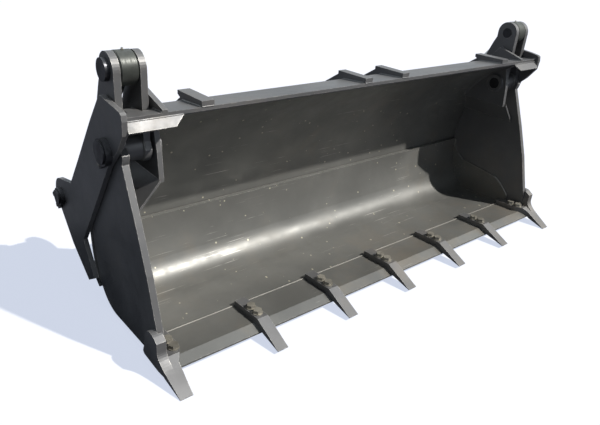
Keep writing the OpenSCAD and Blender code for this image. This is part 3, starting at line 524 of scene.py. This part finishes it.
class BUCKET_OT_weld_frame(bpy.types.Operator):
    """Lay the frame's weld seams"""

    bl_idname = "bucket.weld_frame"
    bl_label = "Weld frame"

    def execute(self, context):
        r = context.scene.bucket_sizes.weld_r
        seam = paint("weld_paint", context.scene.bucket_colours.paint, dust=0.3, wear=0.9)

        def weld(name, path, size=1.0):
            bead(f"weld_{name}", "frame", path, r * size, seam)

        front, rear = (edge_of("top_beam", 1, end) for end in (0, 1))
        top = edge_of("top_beam", 2, 1)
        blade_top = edge_of("blade", 2, 1)
        low_angle, top_angle = (height_angle(z, BLADE_FRONT_R) for z in (CHEEK_LOW_Z, blade_top))
        nose = CURVE[0] + BLADE_FRONT_R * math.cos(math.asin((blade_top - CURVE[1]) / BLADE_FRONT_R))
        weld("beam", [at(x, nose, blade_top - BLADE_TOP_IN) for x in (-CHEEK_IN, CHEEK_IN)])
        tube_y, tube_z = ([edge_of("cross_tube", axis, end) for end in (0, 1)] for axis in (1, 2))
        for way, side in ((-1, "left"), (1, "right")):
            bars = {name: [edge_of(name, 0, end) for end in (0, 1)]
                    for name in (f"side_rib_{side}", f"tilt_ear_{side}")}
            for name, edges in bars.items():
                for n, x in enumerate(edges):
                    weld(f"{name}_{n}", [at(x, front + BAR_FRONT_IN, top - BAR_SINK),
                                         at(x, rear - BAR_REAR_IN, top - BEAM_FALL + BAR_RISE)])
                weld(f"{name}_front", [at(x, front + BAR_NOSE_IN, top) for x in edges], SMALL)
            cheek = way * CHEEK_IN
            weld(f"cheek_{side}", arc_path(cheek, CURVE, BLADE_FRONT_R, low_angle, top_angle))
            weld(f"cheek_rear_{side}", arc_path(cheek, CURVE, BLADE_BACK_R, *CHEEK_REAR))
            corners = ((tube_y[1], tube_z[0]), (tube_y[1], tube_z[1]), (tube_y[0], tube_z[1]))
            weld(f"tube_{side}", [at(cheek, y, z) for y, z in corners])
            hood = f"hood_{side}"
            hood_top = edge_of(hood, 2, 1)
            weld(hood, [at(edge_of(hood, 0, end), front - HOOD_LEAD, hood_top) for end in (0, 1)], FINE)
            weld(f"nose_{side}",
                 [at(way * END_IN, front, top), at(way * END_IN, rear - DECK_REAR_IN, top - DECK_FALL)])
            for n, x in enumerate((CHEEK_IN, CHEEK_OUT)):
                weld(f"wedge_{side}_{n}", [at(way * x, front + WEDGE_IN, top),
                                           at(way * x, rear - WEDGE_REAR_IN, top - WEDGE_FALL)])
            rib = edge_of(f"side_rib_{side}", 0, 0) / 2 + edge_of(f"side_rib_{side}", 0, 1) / 2
            faces = [(rib + half, RIB_REAR) for half in (-RIB_T / 2, RIB_T / 2)]
            faces += [(x, TILT_REAR) for x in bars[f"tilt_ear_{side}"]]
            for n, (x, reach) in enumerate(faces):
                weld(f"rear_{side}_{n}", arc_path(x, CURVE, BLADE_BACK_R, *reach), HEAVY)
            for n, offset in enumerate(ARM_FACES):
                x = way * (ARM_X + offset)
                weld(f"arm_low_{side}_{n}", arc_path(x, CURVE, BLADE_BACK_R, *ARM_LOW), HEAVY)
                weld(f"arm_{side}_{n}", arc_path(x, CURVE, BLADE_BACK_R, *ARM_HIGH), HEAVY)
                corners = ((tube_y[0] + TUBE_IN, tube_z[1]), (tube_y[1], tube_z[1]), (tube_y[1], tube_z[0]))
                weld(f"arm_tube_{side}_{n}", [at(x, y, z) for y, z in corners], HEAVY)
            for n, (pin, radius) in enumerate(((PIVOT, COLLAR_R), (BASE, BASE_COLLAR_R))):
                weld(f"collar_{side}_{n}", arc_path(cheek, pin, radius, 0, 360, CIRCLE_STEPS), LIGHT)
        return {"FINISHED"}


def shell_inside(x):
    """The corner between the shell's inner face and a side plate, from the seam to the ledge."""
    normal = (math.sin(FLOOR_SLOPE), math.cos(FLOOR_SLOPE))
    along = (normal[1], -normal[0])
    low = (SEAM_Y, SEAM_Z - FLOOR_T / normal[1])
    over = sum((c - p) * n for c, p, n in zip(CURVE, low, normal))
    run = math.sqrt((CLAM_R - HEEL_R) ** 2 - (over - HEEL_R) ** 2)
    heel = [c - over * n + HEEL_R * n + run * d for c, n, d in zip(CURVE, normal, along)]
    turn = math.degrees(math.atan2(heel[1] - CURVE[1], heel[0] - CURVE[0]))
    bend = arc_path(x, heel, HEEL_R - BACK_T, -90 - math.degrees(FLOOR_SLOPE), turn)
    ledge = height_angle(edge_of("clam_shell", 2, 1), CLAM_R)
    back = arc_path(x, CURVE, CLAM_R - BACK_T, turn, ledge, steps=8)
    return [at(x, SEAM_Y, SEAM_Z)] + bend + back


class BUCKET_OT_weld_clam(bpy.types.Operator):
    """Lay the clam's weld seams"""

    bl_idname = "bucket.weld_clam"
    bl_label = "Weld clam"

    def execute(self, context):
        sizes, colours = context.scene.bucket_sizes, context.scene.bucket_colours
        seam = paint("clam_weld_paint", colours.shell, dust=0.3, wear=0.9)
        bright = paint("seam_weld", colours.seam, dust=0.15, wear=0.2, roughness=0.46)
        side_x = SIDE_IN - SEAM_INSET
        bead("weld_seam", "clam", [at(-side_x, SEAM_Y, SEAM_Z), at(side_x, SEAM_Y, SEAM_Z)],
             sizes.seam_r, bright)
        for way, side in ((-1, "left"), (1, "right")):
            bead(f"weld_side_{side}", "clam", shell_inside(way * SIDE_IN), sizes.weld_r, seam)
            liner = way * (SIDE_IN - LINER_T * LINER_BEAD_IN)
            edge = [at(liner, y, z) for y, z in LINER_TOP]
            bead(f"weld_liner_{side}", "clam", edge, sizes.weld_r * LIGHT, seam)
            for n, name in enumerate((f"inner_ear_{side}", f"hub_tube_{side}")):
                circle = arc_path(edge_of(name, 0, 0 if way < 0 else 1), PIVOT, HUB_R, 0, 360, CIRCLE_STEPS)
                bead(f"weld_hub_{side}_{n}", "clam", circle, sizes.weld_r, seam)
        return {"FINISHED"}


class BUCKET_OT_fit_details(bpy.types.Operator):
    """Add grease points, port plugs and the welds of the cylinders"""

    bl_idname = "bucket.fit_details"
    bl_label = "Fit details"

    def execute(self, context):
        sizes, colours = context.scene.bucket_sizes, context.scene.bucket_colours
        steel = metal("detail_steel", colours.bolt, roughness=0.4, metallic=0.8, grime=0.5)
        seam = paint("ram_weld_paint", colours.paint, dust=0.3, wear=0.6)
        for side in SIDES:
            eye = f"rod_eye_{side}"
            x = (edge_of(eye, 0, 0) + edge_of(eye, 0, 1)) / 2
            lever = [(edge_of(eye, axis, 0) + edge_of(eye, axis, 1)) / 2 for axis in (1, 2)]
            turned(f"grease_point_{side}", f"rod_{side}", at(x, lever[0], edge_of(eye, 2, 1) - SINK),
                   Vector((0, 0, 1)), GREASE_POINT, steel, sides=12)
            ram = Vector((0, lever[0] - BASE[0], lever[1] - BASE[1])).normalized()
            up = Vector((0, ram.z, -ram.y))
            root = at(x, *BASE)
            for n, distance in enumerate(PORTS_AT):
                middle = root + ram * (distance * MM)
                foot = middle + up * (PORT_TOP * MM)
                body = f"cylinder_{side}"
                turned(f"port_seat_{side}_{n}", body, foot - up * (SINK * MM), up, SEAT, steel)
                turned(f"port_plug_{side}_{n}", body, foot + up * (PLUG_RISE * MM), up, PLUG, steel, sides=6)
                ring = [middle + up * (BARREL_R * MM) + (
                    ram * math.cos(a) + Vector((1, 0, 0)) * math.sin(a)) * (PORT_WELD_R * MM)
                    for a in (math.tau * k / PORT_STEPS for k in range(PORT_STEPS + 1))]
                bead(f"weld_port_{side}_{n}", body, ring, sizes.weld_r * FINE, seam)
        return {"FINISHED"}


class BUCKET_OT_set_stage(bpy.types.Operator):
    """Floor, lamps and camera"""

    bl_idname = "bucket.set_stage"
    bl_label = "Set stage"

    def execute(self, context):
        scene = context.scene
        colours, stage = scene.bucket_colours, scene.bucket_stage
        scene.view_settings.view_transform = "Standard"
        lay_floor(colours.floor)
        light_world(stage.sky)
        aim_sun(stage.sun)
        set_camera(stage.lens)
        return {"FINISHED"}


FLOOR_SIZE = 40.0
# The floor's colour for light that bounces off it, and the share of plain light in what the camera sees of it
FLOOR_BOUNCE = (0.13, 0.14, 0.17)
SHADOW_LIFT = 0.62
# Strength of the reflected sky overhead, its share at the horizon, and where it is full
SHINE, HORIZON, ZENITH = 1.5, 0.25, 0.8
SKY_COLOUR, SHINE_COLOUR, LIFT_COLOUR = (0.66, 0.78, 1.0, 1.0), (0.84, 0.92, 1.0, 1.0), (0.78, 0.845, 1.0, 1.0)
WHITE = (1.0, 1.0, 1.0, 1.0)
LIFT = 1.24


def lay_floor(colour):
    half = FLOOR_SIZE / 2
    mesh = bpy.data.meshes.new("floor")
    corners = [(-half, -half, 0), (half, -half, 0), (half, half, 0), (-half, half, 0)]
    mesh.from_pydata(corners, [], [(0, 1, 2, 3)])
    floor = bpy.data.objects.new("floor", mesh)
    bpy.context.scene.collection.objects.link(floor)
    material, shader = new_material("floor", colour, roughness=0.9)
    shader.inputs["Specular IOR Level"].default_value = 0.1
    seen = node(material, "LightPath")
    bounce = mix(material, seen.outputs["Is Camera Ray"], FLOOR_BOUNCE, colour)
    link(material, bounce, shader.inputs["Base Color"])
    pale = node(material, "Emission", Color=LIFT_COLOUR, Strength=LIFT)
    lift = maths(material, "MULTIPLY", seen.outputs["Is Camera Ray"], SHADOW_LIFT)
    both = mix_shaders(material, lift, shader.outputs["BSDF"], pale.outputs["Emission"])
    link(material, both, material.node_tree.nodes["Material Output"].inputs["Surface"])
    mesh.materials.append(material)


def light_world(strength):
    """A pale blue fill, brighter in reflections and overhead, which the camera sees as plain white."""
    world = bpy.data.worlds.new("studio")
    bpy.context.scene.world = world
    world.use_nodes = True
    fill = world.node_tree.nodes["Background"]
    fill.inputs["Color"].default_value = SKY_COLOUR
    fill.inputs["Strength"].default_value = strength
    plain = node(world, "Background", Color=WHITE)
    shine = node(world, "Background", Color=SHINE_COLOUR)
    height = node(world, "SeparateXYZ")
    link(world, node(world, "TexCoord").outputs["Generated"], height.inputs["Vector"])
    rise = node(world, "MapRange", From_Max=ZENITH, To_Min=HORIZON * SHINE, To_Max=SHINE)
    link(world, height.outputs["Z"], rise.inputs["Value"])
    link(world, rise.outputs["Result"], shine.inputs["Strength"])
    path = node(world, "LightPath")
    seen = maths(world, "MAXIMUM", path.outputs["Is Camera Ray"], path.outputs["Is Transmission Ray"])
    fill, shine, plain = (shader.outputs["Background"] for shader in (fill, shine, plain))
    under = mix_shaders(world, path.outputs["Is Glossy Ray"], fill, shine)
    link(world, mix_shaders(world, seen, under, plain), world.node_tree.nodes["World Output"].inputs["Surface"])


SUN_TRAVEL = Vector((-0.55, 0.75, -1.0))
SUN_ANGLE = math.radians(1.2)
SUN_AT, SUN_COLOUR = (2.0, -2.0, 4.0), (1.0, 0.97, 0.92)


def aim_sun(strength):
    lamp = bpy.data.lights.new("main", "SUN")
    lamp.energy = strength
    lamp.angle = SUN_ANGLE
    lamp.color = SUN_COLOUR
    sun = bpy.data.objects.new("main", lamp)
    sun.rotation_euler = SUN_TRAVEL.to_track_quat("-Z", "Y").to_euler()
    sun.location = SUN_AT
    bpy.context.scene.collection.objects.link(sun)


SENSOR_WIDTH, FAR = 36.0, 100.0
CAMERA_AT = Vector((-2.0024, -1.9627, 1.585))
CAMERA_RIGHT = Vector((0.77387, -0.62863, 0.07719))
CAMERA_LOOK = Vector((0.58871, 0.66903, -0.45367))


def set_camera(lens):
    """The photo's own viewpoint, worked out from the row of teeth."""
    data = bpy.data.cameras.new("photo_view")
    data.lens = lens
    data.sensor_width = SENSOR_WIDTH
    data.clip_end = FAR
    camera = bpy.data.objects.new("photo_view", data)
    up = CAMERA_RIGHT.cross(CAMERA_LOOK).normalized()
    axes = Matrix((CAMERA_RIGHT.normalized(), up, -CAMERA_LOOK.normalized())).transposed()
    camera.matrix_world = Matrix.Translation(CAMERA_AT) @ axes.to_4x4()
    bpy.context.scene.collection.objects.link(camera)
    bpy.context.scene.camera = camera


class BUCKET_PT_panel(bpy.types.Panel):
    """Steps that finish the bucket"""

    bl_label = "Bucket"
    bl_idname = "BUCKET_PT_panel"
    bl_space_type = "VIEW_3D"
    bl_region_type = "UI"
    bl_category = "Bucket"

    def draw(self, context):
        for group in (context.scene.bucket_sizes, context.scene.bucket_colours, context.scene.bucket_stage):
            for key in group.__annotations__:
                self.layout.prop(group, key)
        for step in STEPS:
            self.layout.operator(step.bl_idname)


STEPS = (BUCKET_OT_paint_frame, BUCKET_OT_paint_clam, BUCKET_OT_finish_steel, BUCKET_OT_weld_frame,
         BUCKET_OT_weld_clam, BUCKET_OT_fit_details, BUCKET_OT_set_stage)
GROUPS = (("bucket_sizes", BucketSizes), ("bucket_colours", BucketColours), ("bucket_stage", BucketStage))


def register():
    for name, group in GROUPS:
        bpy.utils.register_class(group)
        setattr(bpy.types.Scene, name, PointerProperty(type=group))
    for step in STEPS:
        bpy.utils.register_class(step)
    bpy.utils.register_class(BUCKET_PT_panel)


def unregister():
    bpy.utils.unregister_class(BUCKET_PT_panel)
    for step in reversed(STEPS):
        bpy.utils.unregister_class(step)
    for name, group in reversed(GROUPS):
        delattr(bpy.types.Scene, name)
        bpy.utils.unregister_class(group)


def main():
    register()
    for step in STEPS:
        family, name = step.bl_idname.split(".")
        getattr(getattr(bpy.ops, family), name)()
    bpy.context.view_layer.update()


if __name__ == "__main__":
    main()
